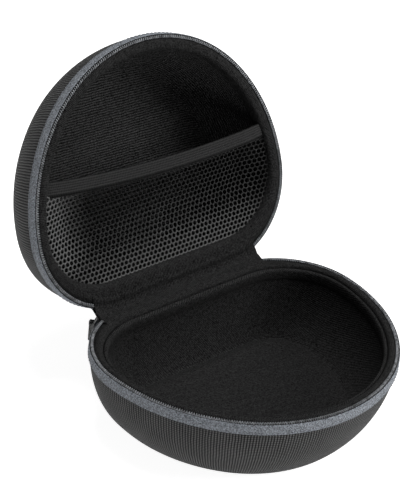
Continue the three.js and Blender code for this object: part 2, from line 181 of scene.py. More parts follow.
def grid_object(name, points, uv, wrap_rows=False, wrap_columns=False, flat=None):
    """An object from a grid of points (rows, columns, 3), with UVs for each point.

    uv holds one column more than the points where the columns wrap, so that the seam of the
    map doesn't run backwards across the last face."""
    rows, columns = points.shape[:2]
    i = np.arange(rows if wrap_rows else rows - 1)
    j = np.arange(columns if wrap_columns else columns - 1)
    i, j = (g.ravel() for g in np.meshgrid(i, j, indexing="ij"))
    below, right = (i + 1) % rows, (j + 1) % columns
    quads = np.stack([i, i, below, below]) * columns + np.stack([j, right, right, j])
    quads = quads.T
    corner_rows = np.stack([i, i, np.minimum(i + 1, rows - 1), np.minimum(i + 1, rows - 1)], 1)
    corner_columns = np.stack([j, j + 1, j + 1, j], 1)
    corner_uv = uv[corner_rows, np.minimum(corner_columns, uv.shape[1] - 1)]
    corner_flat = None if flat is None else flat.reshape(-1, 2)[quads]
    if signed_volume(points.reshape(-1, 3), quads) < 0:
        quads, corner_uv = quads[:, ::-1], corner_uv[:, ::-1]
        corner_flat = None if flat is None else corner_flat[:, ::-1]
    return mesh_object(name, points.reshape(-1, 3), quads, corner_uv, corner_flat)


def path_lengths(section):
    section = np.asarray(section, float)
    hops = np.linalg.norm(np.diff(section, axis=0), axis=1)
    return np.concatenate([[0], np.cumsum(hops)])


def rounded(section, times=3, closed=True):
    """A polygon with its corners cut again and again, which turns it into a soft curve."""
    section = np.asarray(section, float)
    for _ in range(times):
        after = np.roll(section, -1, axis=0) if closed else section[1:]
        before = section if closed else section[:-1]
        cut = np.stack([0.75 * before + 0.25 * after, 0.25 * before + 0.75 * after], 1)
        cut = cut.reshape(-1, 2)
        section = cut if closed else np.concatenate([section[:1], cut, section[-1:]])
    return section


# %% [markdown]
# ## Node materials
#
# Every finish is made from procedural nodes. The cloths share one recipe: a pattern of
# yarns in the UV map, in metres, drives a bump, and a soft noise varies the colour and the
# roughness, because real cloth is never one even tone. Sheen gives the pale edge that
# fibres standing up from a cloth catch.

# %% Helpers for nodes
class Nodes:
    """Adds nodes to one material and links them, so that a finish reads as a formula."""

    def __init__(self, name, roughness, sheen=0.0, specular=0.4, metallic=0.0, ior=1.5):
        self.material = bpy.data.materials.new(name)
        self.material.use_nodes = True
        self.tree = self.material.node_tree
        self.shader = self.tree.nodes["Principled BSDF"]
        self.shader.inputs["Roughness"].default_value = roughness
        self.shader.inputs["Sheen Weight"].default_value = sheen
        self.shader.inputs["Sheen Roughness"].default_value = 0.45
        self.shader.inputs["Specular IOR Level"].default_value = specular
        self.shader.inputs["Metallic"].default_value = metallic
        self.shader.inputs["IOR"].default_value = ior

    def add(self, kind, **values):
        node = self.tree.nodes.new(kind)
        for key, value in values.items():
            setattr(node, key, value)
        return node

    def link(self, source, target):
        self.tree.links.new(source, target)

    def math(self, operation, a, b=0.0):
        node = self.add("ShaderNodeMath", operation=operation)
        for socket, value in zip(node.inputs, (a, b)):
            if isinstance(value, (int, float)):
                socket.default_value = value
            else:
                self.link(value, socket)
        return node.outputs[0]

    def uv(self, layer="cloth"):
        node = self.add("ShaderNodeUVMap", uv_map=layer)
        split = self.add("ShaderNodeSeparateXYZ")
        self.link(node.outputs[0], split.inputs[0])
        return split.outputs[0], split.outputs[1]

    def noise(self, size_mm, detail=2.0):
        coordinates = self.add("ShaderNodeTexCoord")
        node = self.add("ShaderNodeTexNoise")
        node.inputs["Scale"].default_value = 1 / (size_mm * MM)
        node.inputs["Detail"].default_value = detail
        self.link(coordinates.outputs["Object"], node.inputs["Vector"])
        return node.outputs[0]

    def ridge(self, coordinate, pitch_mm, wobble=None):
        """Rounded ridges across a coordinate: 0 in the grooves, 1 on the crests."""
        value = self.math("MULTIPLY", coordinate, math.pi / (pitch_mm * MM))
        if wobble is not None:
            value = self.math("ADD", value, wobble)
        return self.math("ABSOLUTE", self.math("SINE", value))

    def colours(self, factor, dark, light, low=0.0, high=1.0):
        """Blends from dark to light while the factor goes from low to high."""
        factor = self.math("DIVIDE", self.math("SUBTRACT", factor, low), high - low)
        ramp = self.add("ShaderNodeValToRGB")
        ramp.color_ramp.elements[0].color = (*dark, 1)
        ramp.color_ramp.elements[1].color = (*light, 1)
        self.link(factor, ramp.inputs[0])
        self.link(ramp.outputs[0], self.shader.inputs["Base Color"])

    def mix(self, factor, a, b):
        """a where the factor is 0 and b where it is 1."""
        return self.math("ADD", a, self.math("MULTIPLY", factor, self.math("SUBTRACT", b, a)))

    def past(self, coordinate, start_mm, width_mm):
        """0 before a place along a coordinate, rising to 1 over a width."""
        shifted = self.math("SUBTRACT", coordinate, start_mm * MM)
        node = self.add("ShaderNodeClamp")
        self.link(self.math("DIVIDE", shifted, width_mm * MM), node.inputs[0])
        return node.outputs[0]

    def bump(self, height, depth_mm):
        node = self.add("ShaderNodeBump")
        node.inputs["Strength"].default_value = 1.0
        node.inputs["Distance"].default_value = depth_mm * MM
        self.link(height, node.inputs["Height"])
        self.link(node.outputs[0], self.shader.inputs["Normal"])


def grey(value, blue=0.0):
    return (value, value * (1 + 0.4 * blue), value * (1 + blue))


# %% [markdown]
# ### The outer nylon
#
# A coarse nylon is glued to the foam and pressed over the mould. It is drawn down the walls
# so evenly that its ribs meet the rim square on all sides, with finer yarns across them. On
# the flat base it keeps its own straight grid. The material therefore uses two UV maps, one
# along the rim and down the wall and one seen from above, and changes over at the base.

# %% Ribbed nylon
WALL_LENGTH = 74.0
RIB_ACROSS, RIB_DOWN = 1.75, 1.6
# A whole number of ribs goes round the case, so the cloth's pattern meets itself.
RIB_ROUND = PERIMETER / round(PERIMETER / RIB_ACROSS)
nylon = Nodes("ribbed_nylon", 0.6, specular=0.12, ior=1.3)
u, v = nylon.uv()
x, y = nylon.uv("flat")
wobble = nylon.math("MULTIPLY", nylon.noise(7), 1.3)
on_wall = nylon.math("MULTIPLY", nylon.ridge(u, RIB_ROUND, wobble),
                     nylon.math("ADD", nylon.ridge(v, RIB_DOWN, wobble), 0.5))
on_base = nylon.math("MULTIPLY", nylon.ridge(x, RIB_ACROSS, wobble),
                     nylon.ridge(y, RIB_DOWN, wobble))
weave = nylon.mix(nylon.past(v, WALL_LENGTH, 0.5), on_wall, on_base)
fuzz = nylon.math("MULTIPLY", nylon.noise(0.6, 4), 0.5)
weave = nylon.math("ADD", weave, fuzz)
tone = nylon.math("ADD", weave, nylon.math("MULTIPLY", nylon.noise(22, 2), 0.4))
nylon.colours(tone, grey(0.0), grey(0.14), 0.6, 1.9)
nylon.bump(weave, 0.8)
print("finish", nylon.material.name)

# %% [markdown]
# ### The lining
#
# The inside is a brushed tricot, a knit with fine wales. In the lid the wales run level
# across the floor, and in the tray they run on a slant. The pile drinks the light, so the
# colour is nearly black, and a fine, uneven grain keeps it from looking like a hole. The
# part behind the pocket gets painted shade: its colour is darkened, so that the knit's
# holes read as dark.

# %% Tricot lining and plush
WALES_TURN, WALES_BLEND = 38, 12
SHADE_WIDTH = 16


def tricot(name, pitch, across, depth, light, shade_from=None):
    """A knit with wales of one pitch, slanted by across; shade_from darkens one end."""
    made = Nodes(name, 0.92, sheen=0.01, specular=0.1, ior=1.2)
    heights = []
    for layer in ("cloth", "flat"):
        tu, tv = made.uv(layer)
        slant = made.math("ADD", tv, made.math("MULTIPLY", tu, across))
        drift = made.math("MULTIPLY", made.noise(6), 2.2)
        heights.append(made.ridge(slant, pitch, drift))
    _, down = made.uv()
    wales = made.mix(made.past(down, WALES_TURN, WALES_BLEND), *heights)
    wales = made.math("MULTIPLY", wales, made.noise(1.4, 2))
    pile = made.noise(0.8, 2)
    height = made.math("ADD", wales, pile)
    if shade_from is not None:
        # Painted shade: the lining behind the pocket is darkened, so that the knit's holes read
        # as dark.
        _, flat_y = made.uv("flat")
        behind = made.past(flat_y, shade_from, SHADE_WIDTH)
        height = made.math("SUBTRACT", height, made.math("MULTIPLY", behind, 0.35))
    made.colours(height, grey(0.0), grey(light), 0.5, 1.2)
    made.bump(height, depth)
    return made


tray_tricot = tricot("tray_tricot", 1.5, 0.75, 0.5, 0.04)
lid_tricot = tricot("lid_tricot", 1.6, -0.03, 0.9, 0.08, shade_from=-64)
plush = Nodes("plush", 0.95, sheen=0.02, specular=0.08, ior=1.2)
u, v = plush.uv()
stitch = plush.math("MULTIPLY", plush.ridge(u, 1.1), 0.35)
pile = plush.math("ADD", plush.noise(0.9, 2), plush.math("MULTIPLY", plush.noise(3, 2), 0.3))
pile = plush.math("ADD", pile, stitch)
plush.colours(pile, grey(0.0), grey(0.036), 0.6, 1.2)
plush.bump(pile, 0.7)

# %% [markdown]
# ### The zip's tape and coil
#
# The tape is the one part that isn't black: a woven polyester band in blue-grey, with pale
# and dark yarns mixed so that it looks speckled. The coil is nylon thread, smoother and
# paler, which is why its loops read as a row of bright dots.

# %% Tape, coil, elastic, knit and metal
tape = Nodes("zip_tape", 0.8, sheen=0.06, specular=0.3)
u, v = tape.uv()
slant = tape.math("ADD", u, v)
counter = tape.math("SUBTRACT", u, v)
twill = tape.math("MULTIPLY", tape.ridge(slant, 0.75), tape.ridge(counter, 0.9))
speckle = tape.math("ADD", tape.math("MULTIPLY", twill, 0.5), tape.noise(0.9, 4))
tape.colours(speckle, grey(0.01, 0.35), grey(0.45, 0.2), 0.5, 1.0)
tape.bump(speckle, 0.5)

# The coil bed is the black zip tape under the coil, kept near black, darker than the other
# black cloths, as painted shade in the gap between the band and the coil.
bed = Nodes("zip_bed", 0.85, sheen=0.03, specular=0.1)
u, v = bed.uv()
bed_weave = bed.math("ADD", bed.ridge(u, 0.6), bed.noise(0.5, 3))
bed.colours(bed_weave, grey(0.001), grey(0.007), 0.4, 1.5)
bed.bump(bed_weave, 0.15)

coil = Nodes("zip_coil", 0.38, specular=0.6)
coil.colours(coil.noise(2.5), grey(0.07, 0.1), grey(0.3, 0.1), 0.35, 0.65)
coil.bump(coil.noise(0.25), 0.04)

RIB_PITCH = 1.5
elastic = Nodes("elastic", 0.7, sheen=0.02, specular=0.2, ior=1.3)
u, v = elastic.uv()
knit = elastic.math("ADD", elastic.math("MULTIPLY", elastic.ridge(u, 1.2), 0.4),
                    elastic.ridge(v, RIB_PITCH))
elastic.colours(elastic.math("ADD", knit, elastic.noise(1.2)), grey(0.0), grey(0.024), 1.1, 1.8)
elastic.bump(knit, 0.3)

yarn = Nodes("pocket_knit", 0.33, specular=0.3)
u, v = yarn.uv()
filament = yarn.math("ADD", yarn.ridge(yarn.math("ADD", u, v), 0.3), yarn.noise(0.8))
# Painted highlight: the knit's colour is paler along its lower edge and its left end,
# standing for the light that its glossy yarn catches there.
painted_highlight_mask = yarn.math("MAXIMUM", yarn.past(v, -42, 26),
                 yarn.past(yarn.math("MULTIPLY", u, -1), 48, 30))
shine = yarn.math("ADD", yarn.math("MULTIPLY", painted_highlight_mask, 0.85), 0.15)
yarn.colours(yarn.math("MULTIPLY", filament, shine), grey(0.0), grey(0.17), 0.4, 1.5)
yarn.bump(filament, 0.08)

metal = Nodes("dark_metal", 0.34, specular=0.5, metallic=1.0)
scuff = metal.math("ADD", metal.noise(1.3, 5), metal.math("MULTIPLY", metal.noise(0.3, 4), 0.4))
metal.colours(scuff, grey(0.01), grey(0.09), 0.45, 1.0)
metal.bump(scuff, 0.05)


def dressed(obj, finish):
    """Gives a piece its finish."""
    obj.data.materials.clear()
    obj.data.materials.append(finish.material)
    return obj


# %% [markdown]
# ## The moulded bowls
#
# The wall of a bowl is one long arc that leans in more and more, then a tighter arc into
# the flat base. On the hinge side it stands steeper, so the base reaches further back under
# the open lid. The shell is the outer skin and the liner is the foam inside it; the liner
# gets a slight unevenness, because foam never cools perfectly flat.

# %% Shells
BOWL_DEPTH = 57.6
BAND_DEPTH = 8.2
START = 1.1
SLOPES = (math.radians(6), math.radians(43.5))
EDGE_RADIUS = 21
HINGE_SHARE = 0.28
SHELL_TOP = 6.1
SHELL_SKIN, GLUE_GAP = 3, 0.3
WALL_TAPER = 0.35
# Towards the hinge, whatever lies inside the rim is set this much further in.
HINGE_GROWTH = 0.55


def wall_rows(wall_count, edge_count):
    """Rows of (depth, inset, slope) down the outside of the wall and round into the base."""
    knee = BOWL_DEPTH - EDGE_RADIUS * (1 - math.sin(SLOPES[1]))
    radius = (knee - BAND_DEPTH) / (math.sin(SLOPES[1]) - math.sin(SLOPES[0]))
    wall = np.linspace(*SLOPES, wall_count)
    edge = np.linspace(SLOPES[1], math.pi / 2, edge_count)[1:]
    wall_depth = BAND_DEPTH + radius * (np.sin(wall) - math.sin(SLOPES[0]))
    wall_inset = START + radius * (math.cos(SLOPES[0]) - np.cos(wall))
    edge_depth = knee + EDGE_RADIUS * (np.sin(edge) - math.sin(SLOPES[1]))
    edge_inset = wall_inset[-1] + EDGE_RADIUS * (math.cos(SLOPES[1]) - np.cos(edge))
    depth = np.concatenate([wall_depth, edge_depth])
    return np.stack([depth, np.concatenate([wall_inset, edge_inset]),
                     np.concatenate([wall, edge])], -1)


ROWS = wall_rows(22, 16)
FULL_INSET = ROWS[-1, 1]
stations = np.linspace(0, PERIMETER, 560, endpoint=False)


def wall_ring(row, wall_in=0.0, floor_in=0.0, hinge_in=0.0, share=HINGE_SHARE):
    """A ring of the wall, moved in by a thickness that blends from wall to floor."""
    depth, inset, slope = row
    point, normal = along(stations)
    facing = hingeward(normal)
    outside = START + (inset - START) * (1 - (1 - share) * facing)
    inwards = outside + wall_in * (1 - WALL_TAPER * math.sin(slope))
    inwards = inwards + hinge_in * (1 - inset / FULL_INSET) * facing
    flat = point - normal * inwards[:, None]
    level = depth - floor_in * math.sin(slope) ** 3
    return np.column_stack([flat, np.full(len(flat), level)])


def closed_to_centre(ring, count=9):
    """Rings that shrink from the edge of a floor to its middle."""
    centre = ring.mean(axis=0)
    return [centre + (ring - centre) * t for t in np.linspace(0.9, 0.004, count)]


def bowl(name, half, outside, inside):
    """A closed bowl from rings, outside first, both listed from the rim to the floor."""
    outer = outside + closed_to_centre(outside[-1])
    inner = inside + closed_to_centre(inside[-1])
    rings = np.array(outer[::-1] + inner)
    side = len(stations) // 4
    down = [path_lengths([ring[side] for ring in skin]) for skin in (outer, inner)]
    lengths = np.concatenate([down[0][::-1], down[1]])
    around = np.append(stations, PERIMETER)
    uv = np.stack(np.meshgrid(lengths, around, indexing="ij")[::-1], -1) * MM
    return grid_object(name, placed(rings, half), uv, wrap_columns=True,
                       flat=rings[..., :2] * MM)


def make_shell(half):
    outside = [inset_ring(stations, START, SHELL_TOP)] + [wall_ring(r) for r in ROWS]
    inside = [inset_ring(stations, START + SHELL_SKIN, SHELL_TOP)]
    inside += [wall_ring(r, SHELL_SKIN, SHELL_SKIN) for r in [*ROWS[::4], ROWS[-1]]]
    shell = bowl(f"{half}_shell_skin", half, outside, inside)
    dressed(shell, nylon)
    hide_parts(f"{half}_shell")
    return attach(shell, half)


shells = {half: make_shell(half) for half in ("tray", "lid")}
print("shell vertices", len(shells["tray"].data.vertices))

# %% Foam liners
rng = np.random.default_rng(7)
ripples = [(rng.uniform(-0.09, 0.09, 2), rng.uniform(0, 6.3)) for _ in range(7)]


def unevenness(ring, size):
    """A smooth, seeded rise and fall over the case, in mm."""
    waves = [np.sin(ring[:, :2] @ k + phase) for k, phase in ripples]
    return size * np.mean(waves, axis=0)


def make_liner(half, wall, floor, share):
    behind = SHELL_SKIN + GLUE_GAP
    top = START + behind + wall
    hinge_in = top * HINGE_GROWTH
    outside = [inset_ring(stations, START + behind, SHELL_TOP)]
    outside += [wall_ring(r, behind, behind) for r in [*ROWS[::4], ROWS[-1]]]
    inside = [inset_ring(stations, top, SHELL_TOP, hinge_in)]
    for row in ROWS:
        ring = wall_ring(row, behind + wall, behind + floor, hinge_in, share)
        ring[:, 2] -= unevenness(ring, 0.8) + 0.3
        inside.append(ring)
    liner = bowl(f"{half}_lining", half, outside, inside)
    dressed(liner, tray_tricot if half == "tray" else lid_tricot)
    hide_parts(f"{half}_liner")
    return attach(liner, half)


liners = {"tray": make_liner("tray", 5, 10, 0.75),
          "lid": make_liner("lid", 3.2, 2.6, HINGE_SHARE)}
print("liners", [o.name for o in liners.values()])

# %% [markdown]
# ## The padded rim
#
# A roll of foam under short plush runs round the mouth of each bowl. On the lid it rolls
# straight down into the lining. On the tray a groove follows it, and then a second, thinner
# roll, the lip that seats the shut lid. Each roll is a closed section with softened
# corners, carried round the outline.

# %% Rim pads and lip
PAD_EDGE = 3.2


def rim_roll(name, half, section, finish, node, soft=0.12):
    section = rounded(section)
    rings = []
    for inset, depth in section:
        growth = inset * HINGE_GROWTH if inset > PAD_EDGE else 0.0
        ring = inset_ring(stations, inset, depth, growth)
        if depth < 2.2:
            ring[:, 2] += np.abs(unevenness(ring * 2.5, soft * 2))
        rings.append(ring)
    around = np.append(stations, PERIMETER)
    uv = np.stack(np.meshgrid(path_lengths(section), around, indexing="ij")[::-1], -1) * MM
    rings = np.array(rings)
    roll = grid_object(name, placed(rings, half), uv, wrap_rows=True, wrap_columns=True,
                       flat=rings[..., :2] * MM)
    dressed(roll, finish)
    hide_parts(node)
    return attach(roll, half)


tray_section = [(1.3, 5.8), (1.3, 2.9), (3.0, 2.9), (3.2, 1.2), (4.0, 0.6), (6.0, 0.6),
                (7.1, 1.3), (7.3, 3.2), (7.1, 5.8)]
lip_section = [(7.6, 5.8), (7.5, 2.9), (8.1, 2.1), (9.2, 2.1), (9.9, 3.0), (10.0, 6.0),
               (9.6, 9.5), (8.2, 9.5)]
lid_section = [(1.3, 5.8), (1.3, 2.9), (3.0, 2.9), (3.2, 1.2), (4.2, 0.6), (7.2, 0.6),
               (9.2, 1.4), (10.0, 3.6), (9.9, 7.0), (8.8, 10.5), (7.4, 10.5)]
rim_roll("tray_pad_roll", "tray", tray_section, plush, "tray_rim_pad")
rim_roll("tray_lip_roll", "tray", lip_section, tray_tricot, "tray_lip")
rim_roll("lid_pad_roll", "lid", lid_section, plush, "lid_rim_pad")
print("rim rolls made")

# %% [markdown]
# ## The zip
#
# A coil zip is a nylon thread wound into a long spring and sewn to the edge of a tape. The
# tape stands a little proud of the shell, which leaves the shadow line below it. The two
# coils are half a pitch apart, as they must be to mesh when the case is shut. A row of
# small stitches holds the tape down.

# %% Tapes
def strip_object(name, half, section, s_values):
    """A strip of one closed section along part of the outline, and the rings of its two open
    ends.
    """
    rings = np.array([inset_ring(s_values, inset, depth) for inset, depth in section])
    lengths = path_lengths(section)
    uv = np.stack(np.meshgrid(lengths, s_values, indexing="ij")[::-1], -1) * MM
    strip = grid_object(name, placed(rings, half), uv, wrap_rows=True)
    columns, rows = len(s_values), len(section)
    return strip, [[r * columns for r in range(rows)],
                   [r * columns + columns - 1 for r in range(rows)][::-1]]


def cap_ends(obj, ends):
    """Fills the two open ends of a strip with a face each."""
    bm = bmesh.new()
    bm.from_mesh(obj.data)
    bm.verts.ensure_lookup_table()
    for end in ends:
        bm.faces.new([bm.verts[i] for i in end])
    bmesh.ops.recalc_face_normals(bm, faces=bm.faces)
    bm.to_mesh(obj.data)
    bm.free()


zip_stations = np.linspace(ZIP_START, PERIMETER - ZIP_START, 460)
band_outside = [(1.0, 8.3), (0.25, 8.0), (0.0, 6.9), (-0.12, 4.6), (0.0, 2.4), (0.15, 1.5),
                (0.45, 1.1), (0.75, 1.25)]
band_section = np.array(band_outside + [(0.8, 2.6), (0.75, 4.5), (0.8, 7.0), (0.95, 8.2)])
bed_section = np.array([(0.3, 1.45), (0.6, 0.95), (0.95, 1.05), (1.05, 2.25), (3.12, 2.3),
                        (3.12, 2.7), (0.8, 2.7), (0.5, 1.9)])


def make_tape(half):
    strip, ends = strip_object(f"{half}_tape_band", half, band_section, zip_stations)
    cap_ends(strip, ends)
    dressed(strip, tape)
    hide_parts(f"{half}_zip_tape")
    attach(strip, half)
    under, ends = strip_object(f"{half}_coil_bed", half, bed_section, zip_stations)
    cap_ends(under, ends)
    dressed(under, bed)
    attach(under, half)


for half in ("tray", "lid"):
    make_tape(half)

# %% Coils and stitches
COIL_PITCH = 1.5


def tube_object(name, centre, side, radius, sides=6):
    """A round thread along centre points; side is a direction roughly across the thread."""
    ahead = np.gradient(centre, axis=0)
    ahead /= np.linalg.norm(ahead, axis=1, keepdims=True)
    across = side - ahead * np.sum(side * ahead, axis=1, keepdims=True)
    across /= np.linalg.norm(across, axis=1, keepdims=True)
    over = np.cross(ahead, across)
    turn = np.linspace(0, 2 * math.pi, sides, endpoint=False)
    grid = np.array([centre + radius * (math.cos(t) * across + math.sin(t) * over)
                     for t in turn])
    lengths = path_lengths(centre) / MM
    uv = np.stack(np.meshgrid(turn * radius / MM, lengths, indexing="ij")[::-1], -1) * MM
    return grid_object(name, grid, uv, wrap_rows=True)


def make_coil(half):
    count = int(ZIP_LENGTH / COIL_PITCH)
    s = np.linspace(ZIP_START + 0.4, PERIMETER - ZIP_START - 0.4, count * 12)
    phase = 0.0 if half == "tray" else math.pi
    turn = 2 * math.pi * s / COIL_PITCH + phase
    point, normal = along(s)
    inset = 1.95 + 0.72 * np.cos(turn)
    depth = 1.15 + 0.6 * np.sin(turn)
    shut = np.column_stack([point - normal * inset[:, None], depth])
    centre = placed(shut, half)
    core = placed(np.column_stack([point - normal * 2.0, np.full(len(s), 1.25)]), half)
    thread = tube_object(f"{half}_coil_thread", centre, centre - core, 0.33 * MM)
    dressed(thread, coil)
    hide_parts(f"{half}_zip_coil")
    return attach(thread, half)


def make_stitches(half):
    """A row of short threads along the tape, in one mesh."""
    pitch, length, radius = 3.1, 2.3, 0.17
    starts = np.arange(ZIP_START + 2, PERIMETER - ZIP_START - 2 - length, pitch)
    points, faces = [], []
    for start in starts:
        s = np.linspace(start, start + length, 6)
        point, normal = along(s)
        swell = np.sin(np.linspace(0.12, math.pi - 0.12, 6)) ** 0.5
        base = len(points)
        for k in range(6):
            for turn in np.linspace(0, 2 * math.pi, 6, endpoint=False):
                r = radius * swell[k]
                inset = 0.02 - 0.12 * swell[k] + r * math.cos(turn)
                flat = point[k] - normal[k] * inset
                points.append([*flat, 7.1 + r * math.sin(turn)])
        for k in range(5):
            for m in range(6):
                n = (m + 1) % 6
                a, b = base + k * 6, base + (k + 1) * 6
                faces.append([a + m, a + n, b + n, b + m])
        faces.append([base + m for m in range(6)][::-1])
        faces.append([base + 30 + m for m in range(6)])
    row = mesh_object(f"{half}_tape_stitches", placed(points, half), faces)
    row.data.uv_layers.new(name="cloth")
    dressed(row, tape)
    print(row.name, len(starts), "stitches")
    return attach(row, half)


for half in ("tray", "lid"):
    make_coil(half)
    make_stitches(half)

# %% [markdown]
# ## The cloth hinge
#
# Outside, a strip of the same nylon joins the two shells. Inside, a strip of plush carries
# the pads across the fold, and a small gusset closes each end where the zip stops. These
# pieces are built bent, as the open case holds them: near the tray they follow the tray,
# near the lid they follow the lid, and in between they turn about the hinge line. They are
# not attached to either body.

# %% Hinge strips
def hinge_strip(name, s_values, path, thickness, finish, node,
                crease_at=(0.5, -0.7)):
    """A folded strip. path is one side's (inset, depth), from its free edge to the fold."""
    path = np.asarray(path, float)
    sides = np.concatenate([np.column_stack([path, np.zeros(len(path))]),
                            np.column_stack([path[::-1], np.ones(len(path))])])
    point, _ = along(s_values)
    rows = []
    for inset, depth, is_lid in sides:
        shut = np.column_stack([point[:, 0], point[:, 1] - inset, np.full(len(point), depth)])
        rows.append(placed(shut, "lid" if is_lid else "tray"))
    curve = np.array(rows)
    # The few rows next to the fold are evened out, so that the cloth turns in a curve.
    for _ in range(3):
        curve[1:-1] = 0.5 * curve[1:-1] + 0.25 * (curve[:-2] + curve[2:])
    # The crease itself lies a little further back than the straight line across the gap.
    middle = len(path)
    crease = 0.5 * (curve[middle - 1] + curve[middle]) + np.array([0, *crease_at]) * MM
    curve = np.insert(curve, middle, crease, axis=0)
    lengths = path_lengths(curve[:, len(s_values) // 2]) / MM
    uv = np.stack(np.meshgrid(lengths, s_values, indexing="ij")[::-1], -1) * MM
    strip = grid_object(name, curve, uv)
    thick = strip.modifiers.new("thickness", "SOLIDIFY")
    thick.thickness = thickness * MM
    thick.offset = 0
    with bpy.context.temp_override(object=strip, active_object=strip):
        bpy.ops.object.modifier_apply(modifier="thickness")
    dressed(strip, finish)
    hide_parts(node)
    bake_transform(strip)
    return strip


inner_path = [(9.5, 2.0), (8.4, 0.95), (7.2, 0.4), (6.0, 0.15), (4.9, 0.25), (4.0, 0.7),
              (3.3, 1.3), (2.8, 1.9), (2.4, 2.3)]
outer_path = [(0.3, 8.2), (0.15, 7.0), (0.1, 5.5), (0.1, 4.2), (0.15, 3.4), (0.2, 2.9),
              (0.2, 2.6)]
lining_end = corner_length(15)
hinge_strip("hinge_lining_fold", np.linspace(-lining_end, lining_end, 90), inner_path, 0.35,
            plush, "hinge_lining")
cloth_end = corner_length(22.4)
hinge_strip("hinge_cloth_fold", np.linspace(-cloth_end, cloth_end, 110), outer_path, 0.5,
            nylon, "hinge_cloth", (0.0, 0.0))
gusset_path = [(inset, depth - 0.12) for inset, depth in inner_path]
for side, sign in (("left", -1), ("right", 1)):
    ends = sorted([sign * corner_length(14.6), sign * corner_length(22.3)])
    hinge_strip(f"gusset_{side}_fold", np.linspace(*ends, 14), gusset_path, 0.35, plush,
                f"hinge_gusset_{side}")

# %% [markdown]
# ## The pocket in the lid
#
# The pocket is a honeycomb knit, edged along the top with ribbed elastic. The holes are
# real: the cloth is a lattice of six-sided cells, each a ring of yarn round an opening. It
# lies a little below the rim and sags softly towards its edges, where it is sewn in under
# the pad.

# %% Pocket shape
POCKET_LEFT, POCKET_RIGHT = 88.0, 80.0
ELASTIC_WIDTH = 7.5


def pocket_top(x):
    """The y of the pocket's top edge: higher on the left, and sagging in the middle."""
    slope = (POCKET_LEFT - POCKET_RIGHT) / (2 * (HINGE_HALF + CORNER_RADIUS))
    sag = 4.2 * np.clip(1 - (x / 84) ** 2, 0, 1)
    return -(POCKET_LEFT + POCKET_RIGHT) / 2 + slope * x + sag


def distance_inside(points):
    """How far flat points lie inside the outline, in mm; negative outside it."""
    dense = np.linspace(0, PERIMETER, 900, endpoint=False)
    rim, normal = along(dense)
    away = points[:, None, :] - rim[None]
    nearest = np.argmin(np.sum(away ** 2, axis=2), axis=1)
    picked = np.arange(len(points))
    facing = hingeward(normal[nearest])
    inward = -np.sum(away[picked, nearest] * normal[nearest], axis=1)
    return inward / (1 + HINGE_GROWTH * facing)


def pocket_depth(points):
    """The knit's depth: held shallow by the elastic, dished below it, sewn in at the edge."""
    inside = distance_inside(points)
    below = np.clip((points[:, 1] - pocket_top(points[:, 0])) / 62, 0, 1)
    from_edge = np.clip((inside - 8) / 26, 0, 1)
    dish = from_edge * from_edge * (3 - 2 * from_edge) * np.sin(math.pi * below) ** 0.8
    folds = sum(np.sin(points @ k * 0.8 + phase) for k, phase in ripples[:4])
    return 3.2 + 2.4 * (1 - from_edge) * below + 7.5 * dish + 0.45 * folds * from_edge * below


# %% Honeycomb knit
CELL = 3.3


def honeycomb():
    """Points, faces and flat area of a lattice of rings, clipped to the pocket."""
    rise = CELL * math.sqrt(3) / 2
    columns = np.arange(-31, 32)
    lines = np.arange(0, 36)
    centres = [((c + 0.5 * (r % 2)) * CELL, -6 - r * rise) for r in lines for c in columns]
    centres = np.array(centres)
    inside = distance_inside(centres)
    below = centres[:, 1] - pocket_top(centres[:, 0]) > ELASTIC_WIDTH - 2.5
    centres = centres[(inside > 8.2) & below]
    turn = np.radians(np.arange(12) * 30 + 30)
    reach = CELL / math.sqrt(3) * np.where(np.arange(12) % 2 == 0, 1.0, math.sqrt(3) / 2)
    rim = np.stack([np.cos(turn) * reach, np.sin(turn) * reach], -1)
    hole = np.stack([np.cos(turn) * 0.425 * CELL, np.sin(turn) * 0.41 * CELL], -1)
    points = np.concatenate([centres[:, None] + rim, centres[:, None] + hole], 1)
    faces = []
    for cell in range(len(centres)):
        base = cell * 24
        for k in range(12):
            n = (k + 1) % 12
            faces.append([base + k, base + n, base + 12 + n, base + 12 + k])
    quads = points.reshape(-1, 2)[np.array(faces)]
    x, y = quads[..., 0], quads[..., 1]
    area = 0.5 * np.abs(np.sum(x * np.roll(y, -1, 1) - np.roll(x, -1, 1) * y, axis=1))
    return points.reshape(-1, 2), faces, float(area.sum()), len(centres)


flat, faces, knit_area, cells = honeycomb()
shut = np.column_stack([flat, pocket_depth(flat)])
knit_cloth = mesh_object("pocket_knit_mesh", placed(shut, "lid"), faces,
                         flat[np.array(faces)] * MM)
weld = knit_cloth.modifiers.new("weld", "WELD")
weld.merge_threshold = 0.05 * MM
thick = knit_cloth.modifiers.new("thickness", "SOLIDIFY")
thick.thickness = 0.4 * MM
thick.offset = 0
dressed(knit_cloth, yarn)
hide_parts("pocket_mesh")
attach(knit_cloth, "lid")

# %% Elastic and hem
def pocket_band(name, top_drop, width, depth, ribs, rib_height, node):
    """A band across the lid below the pocket's top edge, with ribs along its length."""
    x = np.linspace(-90, 90, 240)
    drops = np.linspace(0, width, ribs * 8 + 1)
    rows = []
    for drop in drops:
        wave = rib_height * abs(math.sin(math.pi * ribs * drop / width))
        y = pocket_top(x) + top_drop + drop
        line = np.stack([x, y], -1)
        inset = distance_inside(line)
        keep = np.clip(inset, 9.0, None) - inset
        line[:, 0] -= np.sign(x) * keep
        sag = 1.6 * np.clip((26 - inset) / 18, 0, 1) ** 2
        rows.append(np.column_stack([line, depth - wave + sag]))
    grid = np.array(rows)
    uv = np.stack(np.meshgrid(drops, x, indexing="ij")[::-1], -1) * MM
    band = grid_object(name, placed(grid, "lid"), uv)
    solid = band.modifiers.new("thickness", "SOLIDIFY")
    solid.thickness = 0.6 * MM
    dressed(band, elastic)
    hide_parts(node)
    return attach(band, "lid")


